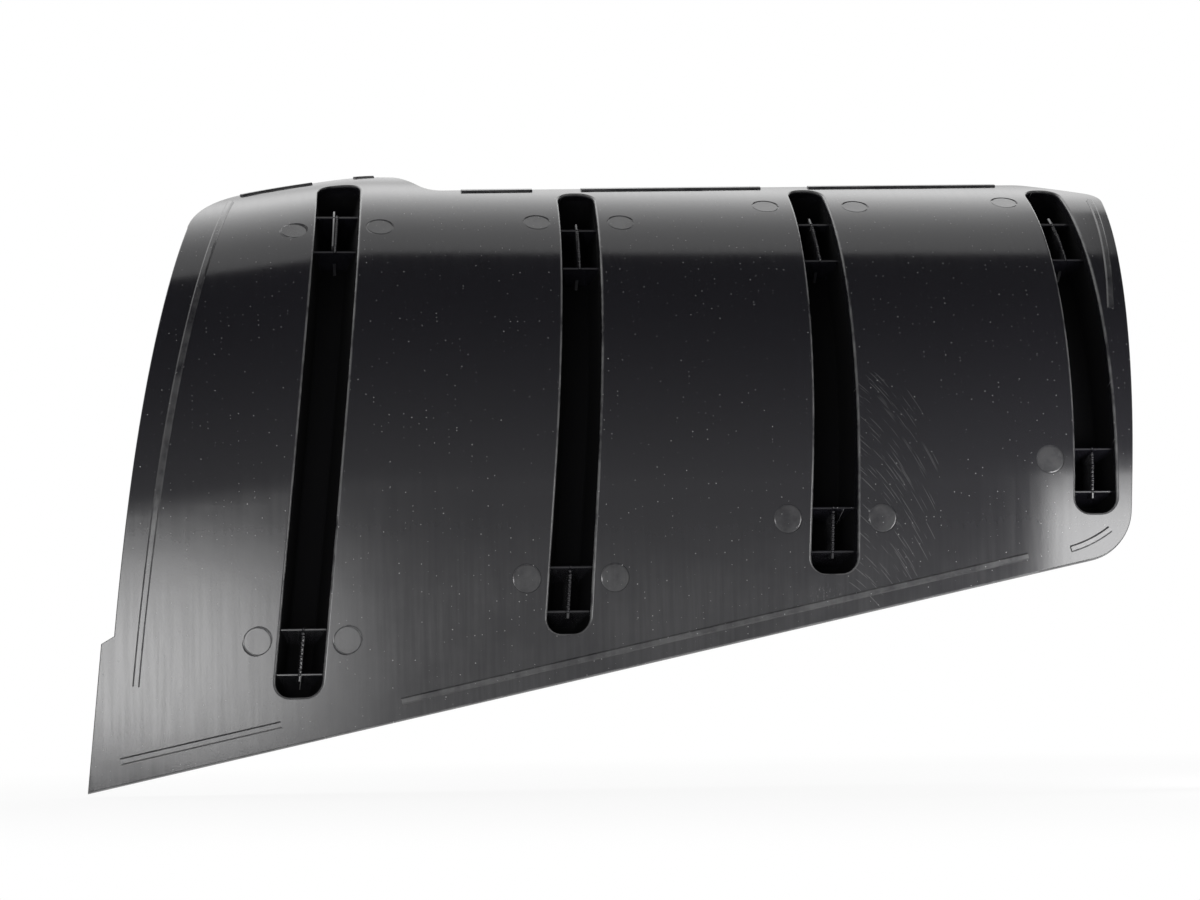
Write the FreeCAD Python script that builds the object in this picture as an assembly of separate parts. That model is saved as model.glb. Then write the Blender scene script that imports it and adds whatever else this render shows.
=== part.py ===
import FreeCAD, Part
import os
from math import asin, cos, degrees, radians, sin, tan

# Bonnet deflector: one moulded black plastic panel, in millimetres.
# X runs along the panel, Y from the bonded face to the fin side, Z up. The flat lower part of the bonded
# face lies in the plane Y = 0, and the origin is on it, midway between the two middle fins.
# The panel is drawn in plan, as seen along the mould's draw direction: a plan point (x, p) is the place
# (x, 0, p) on the flat face, carried along the draw direction until it meets the curved sheet.

Vector = FreeCAD.Vector

# Sheet
wall = 3.0
bend_radius = 200.0
bend_height = 45.0
draw_angle = 20.0

# Left wing, where the bend line falls away
wing_corner_x = -187.0
wing_angle = 7.6
wing_blend_radius = 250.0

# Outline in plan
lower_left = (-349.0, -124.5)
notch_low = (-341.3, -43.0)
notch_high = (-334.2, -38.8)
upper_left = (-280.5, 276.0)
step_crest = (-166.0, 307.5)
step_foot = (-147.0, 269.0)
top_shoulder = (222.0, 284.0)
upper_right = (266.5, 265.0)
lower_right_x = 246.5
bottom_angle = 12.0
left_bow = 6.0
right_bow = 2.6
upper_left_radius = 68.0
crest_radius = 9.0
foot_radius = 14.0
shoulder_radius = 25.0
upper_right_radius = 12.0
lower_right_radius = 30.0

# Hollow fins: place on the flat face, lean, plan ends, and channel widths at the ends
fins = [
    {"x": -226.4, "lean": 5.65, "low": -74.0, "high": 280.0, "low_width": 26.0, "high_width": 25.0,
     "mark_offset": 25.0, "high_mark_gap": 55.0, "marks_both_sides": True},
    {"x": -79.0, "lean": 4.4, "low": -41.0, "high": 264.0, "low_width": 24.5, "high_width": 21.5,
     "mark_offset": 25.0, "high_mark_gap": 34.0, "marks_both_sides": True},
    {"x": 71.8, "lean": 2.3, "low": -9.0, "high": 271.0, "low_width": 27.0, "high_width": 20.5,
     "mark_offset": 27.5, "high_mark_gap": 22.0, "marks_both_sides": True},
    {"x": 225.6, "lean": 1.1, "low": 24.0, "high": 272.0, "low_width": 24.5, "high_width": 20.5,
     "mark_offset": 27.0, "high_mark_gap": 17.0, "marks_both_sides": False},
]
channel_depth = 28.0
channel_mouth = 28.5
channel_draft = 14.0
channel_corner = 9.0
rim_radius = 1.5
fin_end = 6.0

# Thin ribs in the channels
rib = 1.6
rib_drop = 7.0
low_rib_gap = 15.0
low_rib_pitch = 25.0
high_rib_gap = 36.0
high_rib_pitch = 36.0

# Round flat marks beside the fins
mark_diameter = 16.0
mark_depth = 0.35
low_mark_gap = 31.0

# Raised beads near the rim: inset from the edge and the x of both ends, or plan ends and bow
bead_width = 4.0
bead_height = 1.0
bead_end_radius = 1.8
bottom_beads = [(12.5, -331.0, -243.0), (10.0, -176.0, 185.0)]
top_bead_inset = 2.3
top_bead_spans = [(-127.0, -84.0), (-54.0, 57.0), (87.0, 206.0)]
wing_bead_spans = [(-187.5, -176.0)]
curved_beads = [((-264.0, 266.0), (-322.5, -67.0), -6.7), ((210.5, 3.0), (234.0, 14.3), -1.2),
                ((246.0, 155.0), (258.0, 258.0), -1.0), ((-257.0, 277.2), (-214.0, 291.2), 1.1)]

draw = Vector(0, cos(radians(draw_angle)), -sin(radians(draw_angle)))
draw_fall = tan(radians(draw_angle))
wing_slope = tan(radians(wing_angle))
bottom_slope = tan(radians(bottom_angle))
past_edge = 20.0
top_turn = radians(88)
touching = 0.06


def plan_point(x, p):
    return Vector(x, 0, p)


def bottom_edge(x):
    return lower_left[1] + (x - lower_left[0]) * bottom_slope


def bowed_middle(a, b, bow):
    # The middle of an edge from a to b that bows to the left of its way by the given height.
    along = (b - a).normalize()
    return (a + b) * 0.5 + Vector(-along.z, 0, along.x) * bow


def bend_line():
    # The line where the flat part ends: level on the right, falling along the wing, rounded between.
    angle = radians(wing_angle)
    reach = wing_blend_radius * tan(angle / 2)
    corner = Vector(wing_corner_x, 0, bend_height)
    start_x = lower_left[0] - past_edge
    start = Vector(start_x, 0, bend_height - (wing_corner_x - start_x) * wing_slope)
    before = corner - Vector(cos(angle), 0, sin(angle)) * reach
    after = corner + Vector(reach, 0, 0)
    centre = after - Vector(0, 0, wing_blend_radius)
    middle = centre + Vector(-sin(angle / 2), 0, cos(angle / 2)) * wing_blend_radius
    end = Vector(upper_right[0] + past_edge, 0, bend_height)
    rounded = Part.Arc(before, middle, after).toShape()
    return [Part.makeLine(start, before), rounded, Part.makeLine(after, end)]


def bend_height_at(x):
    angle = radians(wing_angle)
    reach = wing_blend_radius * tan(angle / 2)
    if x >= wing_corner_x + reach:
        return bend_height
    if x <= wing_corner_x - reach * cos(angle):
        return bend_height - (wing_corner_x - x) * wing_slope
    aside = wing_corner_x + reach - x
    return bend_height - wing_blend_radius + (wing_blend_radius ** 2 - aside ** 2) ** 0.5


def layer(from_depth, to_depth):
    # The solid between two depths below the bonded face, over the whole panel and past its rim.
    spine = bend_line()
    start = spine[0].Vertexes[0].Point
    flat_run = start.z - lower_left[1] + past_edge

    def turned(depth, angle):
        radius = bend_radius - depth
        return start + Vector(0, bend_radius - radius * cos(angle), radius * sin(angle))

    def low(depth):
        return start + Vector(0, depth, -flat_run)

    def arc(depth, a, b):
        return Part.Arc(turned(depth, a), turned(depth, (a + b) / 2), turned(depth, b)).toShape()

    section = Part.Wire([
        Part.makeLine(low(from_depth), turned(from_depth, 0)),
        arc(from_depth, 0, top_turn),
        Part.makeLine(turned(from_depth, top_turn), turned(to_depth, top_turn)),
        arc(to_depth, top_turn, 0),
        Part.makeLine(turned(to_depth, 0), low(to_depth)),
        Part.makeLine(low(to_depth), low(from_depth)),
    ])
    sweep = Part.BRepOffsetAPI.MakePipeShell(Part.Wire(spine))
    sweep.setTrihedronMode(Vector(0, 0, 0), Vector(1, 0, 0))
    sweep.add(section, False, False)
    sweep.build()
    sweep.makeSolid()
    return sweep.shape()


def turn_at(x, p):
    # How far the sheet has turned back from upright at a plan point.
    rise = p - bend_height_at(x)
    if rise <= 0:
        return 0.0
    tilt = radians(draw_angle)
    return tilt + asin(cos(tilt) * rise / bend_radius - sin(tilt))


def surface_place(x, p):
    # The point of the bonded face at a plan point, and the face's outward normal there.
    turn = turn_at(x, p)
    back = bend_radius * (1 - cos(turn))
    slope = wing_slope if x < wing_corner_x else 0.0
    normal = Vector(-slope * sin(turn), -cos(turn), sin(turn)).normalize()
    return Vector(x, back, p - back * draw_fall), normal


def draw_prism(edges, rounds=()):
    # A plan outline carried along the draw direction, with its corners rounded.
    front, back = draw * -past_edge, draw * (bend_radius * 2)
    face = Part.Face(Part.Wire(edges))
    face.translate(front)
    solid = face.extrude(back - front)
    for corner, radius in rounds:
        seam = [e for e in solid.Edges
                if all((v.Point - corner).cross(draw).Length < touching for v in e.Vertexes)]
        solid = solid.makeFillet(radius, seam)
    return solid


def polygon_edges(points):
    return [Part.makeLine(a, b) for a, b in zip(points, points[1:] + points[:1])]


def outline_prism():
    lower_right = (lower_right_x, bottom_edge(lower_right_x))
    places = [lower_left, lower_right, upper_right, top_shoulder, step_foot, step_crest, upper_left,
              notch_high, notch_low]
    corners = [plan_point(*place) for place in places]
    edges = []
    for a, b in zip(corners, corners[1:] + corners[:1]):
        edges.append(Part.makeLine(a, b))
    right_from, right_to = corners[1], corners[2]
    edges[1] = Part.Arc(right_from, bowed_middle(right_from, right_to, right_bow), right_to).toShape()
    left_from, left_to = corners[6], corners[7]
    edges[6] = Part.Arc(left_from, bowed_middle(left_from, left_to, -left_bow), left_to).toShape()
    rounds = [(corners[1], lower_right_radius), (corners[2], upper_right_radius),
              (corners[3], shoulder_radius), (corners[4], foot_radius),
              (corners[5], crest_radius), (corners[6], upper_left_radius)]
    return draw_prism(edges, rounds)


def fin_middle(fin, p):
    return fin["x"] + tan(radians(fin["lean"])) * p


def slot_prism(fin, grow):
    # The channel's mouth in plan, a tapered slot with rounded ends, grown all round by the given amount.
    low, high = fin["low"] - grow, fin["high"] + grow
    low_half, high_half = fin["low_width"] / 2 + grow, fin["high_width"] / 2 + grow
    low_x, high_x = fin_middle(fin, low), fin_middle(fin, high)
    points = [plan_point(low_x - low_half, low), plan_point(low_x + low_half, low),
              plan_point(high_x + high_half, high), plan_point(high_x - high_half, high)]
    return draw_prism(polygon_edges(points), [(point, channel_corner + grow) for point in points])


def fin_run(fin, grow, to_depth):
    # A drafted section that follows the fin's own line: straight up the flat part, then round the bend
    # to an end square to the sheet, a little past the channel's mouth.
    from_depth = -past_edge / 2
    up = Vector(tan(radians(fin["lean"])), 0, 1).normalize()
    deep = (draw - up * draw.dot(up)).normalize()
    across = deep.cross(up)
    base = Vector(fin["x"], 0, 0)
    crossing = bend_height_at(fin_middle(fin, bend_height)) / up.z
    slope = wing_slope if fin["x"] < wing_corner_x else 0.0
    lean = up.x / up.z
    turn_radius = bend_radius * (1 + lean ** 2) / (1 - slope * lean)
    draft = tan(radians(channel_draft))
    flare = grow / cos(radians(channel_draft))

    def corner(side, depth, height):
        half = channel_mouth / 2 - depth * draft + flare
        return base + across * (side * half) + deep * depth + up * height

    def section(height):
        points = [corner(-1, from_depth, height), corner(1, from_depth, height),
                  corner(1, to_depth, height), corner(-1, to_depth, height)]
        return Part.Face(Part.Wire(polygon_edges(points)))

    foot = fin["low"] - past_edge
    straight = section(foot).extrude(up * (crossing - foot))
    axis_point = base + deep * turn_radius + up * crossing
    end_turn = turn_at(fin_middle(fin, fin["high"]), fin["high"]) + (fin_end + grow) / bend_radius
    bent = section(crossing).revolve(axis_point, across * -1, degrees(end_turn))
    return straight.fuse(bent).removeSplitter()


def channel_ribs(fin, channel):
    # Thin cross ribs near both ends of the channel, each pair joined by a web along the middle.
    heights = [(fin["low"] + low_rib_gap, fin["low"] + low_rib_gap + low_rib_pitch),
               (fin["high"] - high_rib_gap - high_rib_pitch, fin["high"] - high_rib_gap)]
    half = rib / 2
    plates = []
    for low, high in heights:
        for p in (low, high):
            left, right = fin_middle(fin, p) - channel_mouth, fin_middle(fin, p) + channel_mouth
            plates.append(draw_prism(polygon_edges([
                plan_point(left, p - half), plan_point(right, p - half),
                plan_point(right, p + half), plan_point(left, p + half)])))
        low_x, high_x = fin_middle(fin, low), fin_middle(fin, high)
        plates.append(draw_prism(polygon_edges([
            plan_point(low_x - half, low), plan_point(low_x + half, low),
            plan_point(high_x + half, high), plan_point(high_x - half, high)])))
    shape = plates[0].multiFuse(plates[1:])
    return shape.common(channel).common(layer(rib_drop, channel_depth + wall))


def round_mark(x, p):
    place, normal = surface_place(x, p)
    foot = place - normal * mark_depth
    return Part.makeCylinder(mark_diameter / 2, mark_depth + bead_height, foot, normal)


def round_marks(fin):
    sides = (-1, 1) if fin["marks_both_sides"] else (-1,)
    heights = (fin["low"] + low_mark_gap, fin["high"] - fin["high_mark_gap"])
    return [round_mark(fin_middle(fin, p) + side * fin["mark_offset"], p)
            for p in heights for side in sides]


def bead_prism(a, b, bow=0.0):
    # A bead's plan shape: a strip of even width with rounded ends, straight or bowed.
    along = (b - a).normalize()
    aside = Vector(-along.z, 0, along.x) * (bead_width / 2)
    corners = [a - aside, b - aside, b + aside, a + aside]
    edges = polygon_edges(corners)
    if bow:
        edges[0] = Part.Arc(corners[0], bowed_middle(corners[0], corners[1], bow), corners[1]).toShape()
        edges[2] = Part.Arc(corners[2], bowed_middle(corners[2], corners[3], -bow), corners[3]).toShape()
    return draw_prism(edges, [(corner, bead_end_radius) for corner in corners])


def beads():
    prisms = []
    for inset, from_x, to_x in bottom_beads:
        rise = inset / cos(radians(bottom_angle))
        prisms.append(bead_prism(plan_point(from_x, bottom_edge(from_x) + rise),
                                 plan_point(to_x, bottom_edge(to_x) + rise)))
    for edge_from, edge_to, spans in ((step_foot, top_shoulder, top_bead_spans),
                                      (upper_left, step_crest, wing_bead_spans)):
        slope = (edge_to[1] - edge_from[1]) / (edge_to[0] - edge_from[0])
        for from_x, to_x in spans:
            ends = [plan_point(x, edge_from[1] + (x - edge_from[0]) * slope - top_bead_inset)
                    for x in (from_x, to_x)]
            prisms.append(bead_prism(*ends))
    for (from_place, to_place, bow) in curved_beads:
        prisms.append(bead_prism(plan_point(*from_place), plan_point(*to_place), bow))
    raised = layer(-bead_height, wall / 2)
    return [prism.common(raised) for prism in prisms]


def rim_edges(shape, mouths):
    # The edges where the channels open through the bonded face.
    found = []
    for edge in shape.Edges:
        middle = edge.valueAt((edge.FirstParameter + edge.LastParameter) / 2)
        place, normal = surface_place(middle.x, middle.z + middle.y * draw_fall)
        on_face = (middle - place).Length < touching
        if on_face and any(Part.Vertex(middle).distToShape(mouth)[0] < touching for mouth in mouths):
            found.append(edge)
    return found


def deflector_panel():
    panel = layer(0, wall).common(outline_prism())
    behind = layer(wall / 2, channel_depth * 2)
    outers = [slot_prism(fin, wall).common(fin_run(fin, wall, channel_depth + wall)).common(behind)
              for fin in fins]
    mouths = [slot_prism(fin, 0) for fin in fins]
    channels = [mouth.common(fin_run(fin, 0, channel_depth)) for fin, mouth in zip(fins, mouths)]
    panel = panel.multiFuse(outers).removeSplitter()
    for channel in channels:
        panel = panel.cut(channel)
    panel = panel.makeFillet(rim_radius, rim_edges(panel, [m.Shells[0] for m in mouths]))
    panel = panel.multiFuse(beads())
    panel = panel.multiFuse([channel_ribs(fin, channel) for fin, channel in zip(fins, channels)])
    marks = [mark for fin in fins for mark in round_marks(fin)]
    return panel.cut(marks[0].multiFuse(marks[1:])).removeSplitter()


os.makedirs("parts", exist_ok=True)
panel = deflector_panel()
print("solids", len(panel.Solids), "valid", panel.isValid(), "volume", round(panel.Volume), panel.BoundBox)
panel.exportStep("parts/deflector_panel.step")
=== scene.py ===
import math

import bpy
import numpy as np
from mathutils import Matrix, Vector
from mathutils.geometry import delaunay_2d_cdt


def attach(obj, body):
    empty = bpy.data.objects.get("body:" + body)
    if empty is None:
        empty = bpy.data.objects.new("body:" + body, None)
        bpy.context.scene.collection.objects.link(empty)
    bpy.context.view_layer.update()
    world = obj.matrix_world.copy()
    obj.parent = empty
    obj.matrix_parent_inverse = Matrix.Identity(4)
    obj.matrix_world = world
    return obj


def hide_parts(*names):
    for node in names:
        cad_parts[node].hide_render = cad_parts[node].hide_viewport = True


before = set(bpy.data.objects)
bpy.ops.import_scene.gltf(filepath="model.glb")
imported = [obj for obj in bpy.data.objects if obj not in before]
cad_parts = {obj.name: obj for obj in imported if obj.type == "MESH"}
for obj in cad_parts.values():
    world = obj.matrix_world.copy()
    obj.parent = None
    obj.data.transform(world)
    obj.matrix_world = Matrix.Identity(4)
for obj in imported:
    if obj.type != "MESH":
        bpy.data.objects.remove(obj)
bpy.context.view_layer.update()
metre = 0.001  # sizes below are in millimetres, meshes are in metres
print("frame loaded", sorted(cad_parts))

# the sheet: flat below, rolled back above the bend line, which falls away along the left wing
sheet = {
    "wall": 3.0,
    "bendRadius": 200.0,
    "bendHeight": 45.0,
    "drawAngle": 20.0,
    "cornerX": -187.0,
    "wingAngle": 7.6,
    "blendRadius": 250.0,
    "edgeRound": 0.5,
    "edgeWear": 0.8,
    "gridStep": 6.0,
    "gridGap": 0.55,  # least room between grid points and borders, in grid steps
    "gridBatch": 40,
    "sliver": 0.001,
    "weld": 1e-6,
    "creaseAngle": 38.0,
}

# corners in plan, seen along the draw direction: x, height, rounding
outline = {
    "corners": [
        (-349.0, -124.5, 0.0), (246.5, 2.08, 30.0), (266.5, 265.0, 12.0), (222.0, 284.0, 25.0),
        (-147.0, 269.0, 14.0), (-166.0, 307.5, 9.0), (-280.5, 276.0, 68.0),
        (-334.2, -38.8, 0.0), (-341.3, -43.0, 0.0),
    ],
    "bows": {1: 2.6, 6: -6.0},
    "step": 3.0,
    "arcSteps": 60,
    "cornerSteps": 14,
    "cornerRoom": 2.0,
}

# hollow fins: x, lean, lower and upper end, widths there, marks beside them
fins = [
    {"x": -226.4, "lean": 5.65, "low": -74.0, "high": 280.0, "lowWidth": 26.0, "highWidth": 25.0,
     "markOffset": 25.0, "highMarkGap": 55.0, "sides": (-1, 1)},
    {"x": -79.0, "lean": 4.4, "low": -41.0, "high": 264.0, "lowWidth": 24.5, "highWidth": 21.5,
     "markOffset": 25.0, "highMarkGap": 34.0, "sides": (-1, 1)},
    {"x": 71.8, "lean": 2.3, "low": -9.0, "high": 271.0, "lowWidth": 27.0, "highWidth": 20.5,
     "markOffset": 27.5, "highMarkGap": 22.0, "sides": (-1, 1)},
    {"x": 225.6, "lean": 1.1, "low": 24.0, "high": 272.0, "lowWidth": 24.5, "highWidth": 20.5,
     "markOffset": 27.0, "highMarkGap": 17.0, "sides": (-1,)},
]
channel = {
    "depth": 28.0, "mouth": 28.5, "draft": 14.0, "corner": 9.0, "rim": 1.5, "endReach": 6.0, "leastEnd": 0.4,
    # dim is the depth where the painted channel shade is full
    "floorRound": 1.4, "dim": 9.0, "footRound": 1.2, "sideSteps": 72, "cornerSteps": 9, "endSteps": 3,
    "wallDepths": (2.4, 4.0, 6.0, 9.0, 13.0, 18.0, 23.0),
    # the rounded rim is most worn between two of its turns, and painted lighter as a highlight there too
    "rimTurns": (15, 30, 45, 60, 75, 90), "wornLitTurns": (30, 75), "wornLitWear": 1.0, "rimWearAndHighlight": 0.5,
}
mark = {"radius": 8.0, "lip": 0.3, "groove": 0.5, "sink": 0.3, "ring": 0.45, "ringSlope": 0.72,
        "lowGap": 31.0, "steps": 56, "wear": 0.28}

tilt = math.radians(sheet["drawAngle"])
drawFall = math.tan(tilt)
quarter = [math.radians(turn) for turn in (0, 30, 60, 90)]  # steps of every small rounding


def bendAt(x):
    angle = math.radians(sheet["wingAngle"])
    reach = sheet["blendRadius"] * math.tan(angle / 2)
    aside = sheet["cornerX"] + reach - x
    falling = sheet["bendHeight"] - (sheet["cornerX"] - x) * math.tan(angle)
    rounded = np.sqrt(np.maximum(sheet["blendRadius"] ** 2 - aside ** 2, 0))
    rounded = sheet["bendHeight"] - sheet["blendRadius"] + rounded
    level = np.where(x >= sheet["cornerX"] + reach, sheet["bendHeight"], rounded)
    return np.where(x <= sheet["cornerX"] - reach * math.cos(angle), falling, level)


def turnAt(x, p, depth=0.0):
    rise = p - bendAt(x) - sheet["bendRadius"] * drawFall
    lever = math.cos(tilt) * rise / (sheet["bendRadius"] - depth)
    return np.maximum(tilt + np.arcsin(np.clip(lever, -1, 1)), 0)


def onSheet(x, p, depth=0.0):
    # points at a depth under the smooth face, and the face's normals there
    x, p = np.asarray(x, float), np.asarray(p, float)
    turn = turnAt(x, p, depth)
    y = sheet["bendRadius"] - (sheet["bendRadius"] - depth) * np.cos(turn)
    slope = bendAt(x + 0.5) - bendAt(x - 0.5)  # over 1 mm
    normal = np.stack([-slope * np.sin(turn), -np.cos(turn), np.sin(turn)], -1)
    normal /= np.linalg.norm(normal, axis=-1, keepdims=True)
    return np.stack([x, y, p - y * drawFall], -1), normal


def unit(v):
    return v / np.linalg.norm(v)


def bowedEdge(a, b, bow):
    # points of an arc from a to b, both ends included
    if not bow:
        return [a, b]
    along, half = unit(b - a), np.linalg.norm(b - a) / 2
    left = np.array([-along[1], along[0]])
    radius = (half ** 2 + bow ** 2) / (2 * bow)
    centre = (a + b) / 2 + left * (bow - radius)
    spread = math.asin(half / abs(radius))
    turns = np.linspace(-spread, spread, outline["arcSteps"])
    return [centre + left * radius * math.cos(t) + along * abs(radius) * math.sin(t) for t in turns]


def outlineLoop():
    corners = [np.array(c[:2]) for c in outline["corners"]]
    rounds = [c[2] for c in outline["corners"]]
    count = len(corners)
    edges = [bowedEdge(corners[i], corners[(i + 1) % count], outline["bows"].get(i, 0))
             for i in range(count)]
    room = outline["cornerRoom"]
    loop = []
    for i in range(count):
        into, away = edges[i - 1], edges[i]
        wayIn, wayOut = unit(into[-1] - into[-2]), unit(away[1] - away[0])
        cross = wayIn[0] * wayOut[1] - wayIn[1] * wayOut[0]
        bend = math.atan2(cross, wayIn @ wayOut)
        setback = rounds[i] * abs(math.tan(bend / 2))
        start = corners[i] - wayIn * setback
        if rounds[i]:
            side = math.copysign(1, bend)
            centre = start + np.array([-wayIn[1], wayIn[0]]) * side * rounds[i]
            for t in np.linspace(0, bend, outline["cornerSteps"]):
                spoke = start - centre
                loop.append(centre + np.array([spoke[0] * math.cos(t) - spoke[1] * math.sin(t),
                                               spoke[0] * math.sin(t) + spoke[1] * math.cos(t)]))
        else:
            loop.append(corners[i])
        nextBack = 0.0
        j = (i + 1) % count
        if rounds[j]:
            a, b = unit(away[-1] - away[-2]), unit(edges[j][1] - edges[j][0])
            nextBack = rounds[j] * abs(math.tan(math.atan2(a[0] * b[1] - a[1] * b[0], a @ b) / 2))
        for q in away[1:-1]:
            fromHere, toNext = np.linalg.norm(q - corners[i]), np.linalg.norm(q - corners[j])
            if fromHere > setback + room and toNext > nextBack + room:
                loop.append(q)
    dense = []
    for a, b in zip(loop, loop[1:] + loop[:1]):
        parts = max(1, math.ceil(np.linalg.norm(b - a) / outline["step"]))
        dense += [a + (b - a) * k / parts for k in range(parts)]
    return np.array(dense)


def insetLoop(loop, amount):
    ahead = np.roll(loop, -1, 0) - loop
    ahead /= np.linalg.norm(ahead, axis=1, keepdims=True)
    left = np.stack([-ahead[:, 1], ahead[:, 0]], -1)
    before = np.roll(left, 1, 0)
    share = 1 + (left * before).sum(1, keepdims=True)
    return loop + (left + before) / share * amount


def finMiddle(fin, p):
    return fin["x"] + math.tan(math.radians(fin["lean"])) * p


def slotLoop(fin, grow, depth, outer=0.0):
    # a fin's plan outline at a depth, drafted, starting at the middle of its lower end
    turn = float(turnAt(np.array(finMiddle(fin, fin["high"])), fin["high"]))
    turn += (channel["endReach"] + outer) / sheet["bendRadius"]
    bend = float(bendAt(np.array(finMiddle(fin, fin["high"]))))
    end = bend + sheet["bendRadius"] * drawFall
    end += (sheet["bendRadius"] - depth) * math.sin(turn - tilt) / math.cos(tilt)
    low, high = fin["low"] - grow, min(fin["high"] + grow, end)
    draft = math.radians(channel["draft"])
    drafted = channel["mouth"] / 2 - depth * math.tan(draft) + outer / math.cos(draft)
    lowHalf = min(fin["lowWidth"] / 2 + grow, drafted + grow - outer)
    highHalf = min(fin["highWidth"] / 2 + grow, drafted + grow - outer)
    rounding = min(channel["corner"] + grow, min(lowHalf, highHalf) - channel["leastEnd"])
    us, ps = [], []
    for k in range(channel["endSteps"]):
        us.append((lowHalf - rounding) * k / channel["endSteps"])
        ps.append(low)
    for k in range(channel["cornerSteps"]):
        t = math.pi / 2 * k / channel["cornerSteps"]
        us.append(lowHalf - rounding + rounding * math.sin(t))
        ps.append(low + rounding - rounding * math.cos(t))
    for k in range(channel["sideSteps"]):
        share = k / channel["sideSteps"]
        us.append(lowHalf + (highHalf - lowHalf) * share)
        ps.append(low + rounding + (high - low - 2 * rounding) * share)
    for k in range(channel["cornerSteps"]):
        t = math.pi / 2 * k / channel["cornerSteps"]
        us.append(highHalf - rounding + rounding * math.cos(t))
        ps.append(high - rounding + rounding * math.sin(t))
    for k in range(channel["endSteps"]):
        us.append((highHalf - rounding) * (1 - k / channel["endSteps"]))
        ps.append(high)
    us.append(0.0)
    ps.append(high)
    us += [-u for u in us[-2:0:-1]]
    ps += ps[-2:0:-1]
    us, ps = np.array(us), np.array(ps)
    return np.stack([finMiddle(fin, ps) + us, ps], -1)


def inside(points, loop):
    # even-odd test of many points against one closed loop
    a, b = loop, np.roll(loop, -1, 0)
    hit = np.zeros(len(points), bool)
    for (ax, ay), (bx, by) in zip(a, b):
        if ay != by:
            spans = (ay > points[:, 1]) != (by > points[:, 1])
            hit ^= spans & (points[:, 0] < (bx - ax) * (points[:, 1] - ay) / (by - ay) + ax)
    return hit


class Shell:
    # gathers one closed mesh: points, faces and fixed normals, and for each point how worn and painted light
    # it is, how much painted shade it gets deep in a channel, and whether it is on the smooth face
    def __init__(self):
        self.points, self.normals, self.faces, self.fixed = [], [], [], []
        self.marks = {"wear": [], "channelShade": [], "front": []}
        self.count = 0

    def ring(self, points, normals=None, wear=0.0, channelShade=0.0, front=0.0):
        self.points.append(points)
        self.normals.append(np.zeros_like(points) if normals is None else normals)
        for label, value in (("wear", wear), ("channelShade", channelShade), ("front", front)):
            self.marks[label].append(np.full(len(points), value))
        self.count += len(points)
        return np.arange(self.count - len(points), self.count)

    def face(self, corners, fixed=False):
        self.faces.append([int(c) for c in corners])
        self.fixed.append(fixed)

    def bridge(self, wide, narrow, flip=False, fixed=False):
        for i in range(len(wide)):
            j = (i + 1) % len(wide)
            quad = (wide[i], wide[j], narrow[j], narrow[i])
            self.face(quad[::-1] if flip else quad, fixed)

    def close(self, ring, flip=False):
        # fills a loop that mirrors about its first point
        n = len(ring)
        for i in range(n // 2):
            quad = [ring[i], ring[i + 1], ring[n - i - 1], ring[(n - i) % n]]
            quad = [c for k, c in enumerate(quad) if c not in quad[:k]]
            if len(quad) > 2:
                self.face(quad[::-1] if flip else quad)

    def skin(self, rim, holes, depth, flip=False):
        # fills the plan between the rim and the holes, with an even grid of points inside
        loops = [rim] + holes
        step = sheet["gridStep"]
        low, high = rim.min(0), rim.max(0)
        xs, ps = np.meshgrid(np.arange(low[0], high[0], step), np.arange(low[1], high[1], step))
        xs[1::2] += step / 2
        grid = np.stack([xs.ravel(), ps.ravel()], -1)
        grid = grid[inside(grid, rim)]
        for hole in holes:
            grid = grid[~inside(grid, hole)]
        for loop in loops:
            for part in np.array_split(loop, max(1, len(loop) // sheet["gridBatch"])):
                gap = np.linalg.norm(grid[:, None] - part[None], axis=2).min(1)
                grid = grid[gap > step * sheet["gridGap"]]
        flat, edges, start = [], [], 0
        for loop in loops:
            n = len(loop)
            flat.append(loop)
            edges += [(start + i, start + (i + 1) % n) for i in range(n)]
            start += n
        flat = np.concatenate(flat + [grid])
        made = delaunay_2d_cdt([Vector(q) for q in flat], edges, [], 0, sheet["weld"])
        places = np.array([list(q) for q in made[0]])
        points, normals = onSheet(places[:, 0], places[:, 1], depth)
        ids = self.ring(points, -normals if flip else normals, front=0.0 if flip else 1.0)
        tris = np.array(list(made[2]))
        middles = places[tris].mean(1)
        one, two = places[tris[:, 1]] - places[tris[:, 0]], places[tris[:, 2]] - places[tris[:, 0]]
        doubleArea = one[:, 0] * two[:, 1] - one[:, 1] * two[:, 0]
        keep = inside(middles, rim) & (doubleArea > sheet["sliver"])
        for hole in holes:
            keep &= ~inside(middles, hole)
        for tri in tris[keep]:
            corners = [ids[c] for c in tri]
            self.face(corners[::-1] if flip else corners, True)
        back = {}
        for new, old in enumerate(made[3]):
            for k in old:
                back[k] = ids[new]
        found, start = [], 0
        for loop in loops:
            found.append([back[start + i] for i in range(len(loop))])
            start += len(loop)
        return found

    def build(self, name):
        mesh = bpy.data.meshes.new(name)
        mesh.from_pydata((np.concatenate(self.points) * metre).tolist(), [], self.faces)
        mesh.polygons.foreach_set("use_smooth", [True] * len(mesh.polygons))
        for label, values in self.marks.items():
            mesh.attributes.new(label, "FLOAT", "POINT").data.foreach_set("value", np.concatenate(values))
        mesh.set_sharp_from_angle(angle=math.radians(sheet["creaseAngle"]))
        normals = np.concatenate(self.normals)
        chosen = np.zeros((len(mesh.loops), 3))
        for poly, fixed in zip(mesh.polygons, self.fixed):
            if fixed:
                for k in poly.loop_indices:
                    chosen[k] = normals[mesh.loops[k].vertex_index]
        mesh.normals_split_custom_set(chosen.tolist())
        piece = bpy.data.objects.new(name, mesh)
        bpy.context.scene.collection.objects.link(piece)
        return piece


def markPlaces():
    for fin in fins:
        for p in (fin["low"] + mark["lowGap"], fin["high"] - fin["highMarkGap"]):
            for side in fin["sides"]:
                yield finMiddle(fin, p) + side * fin["markOffset"], p


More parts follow.
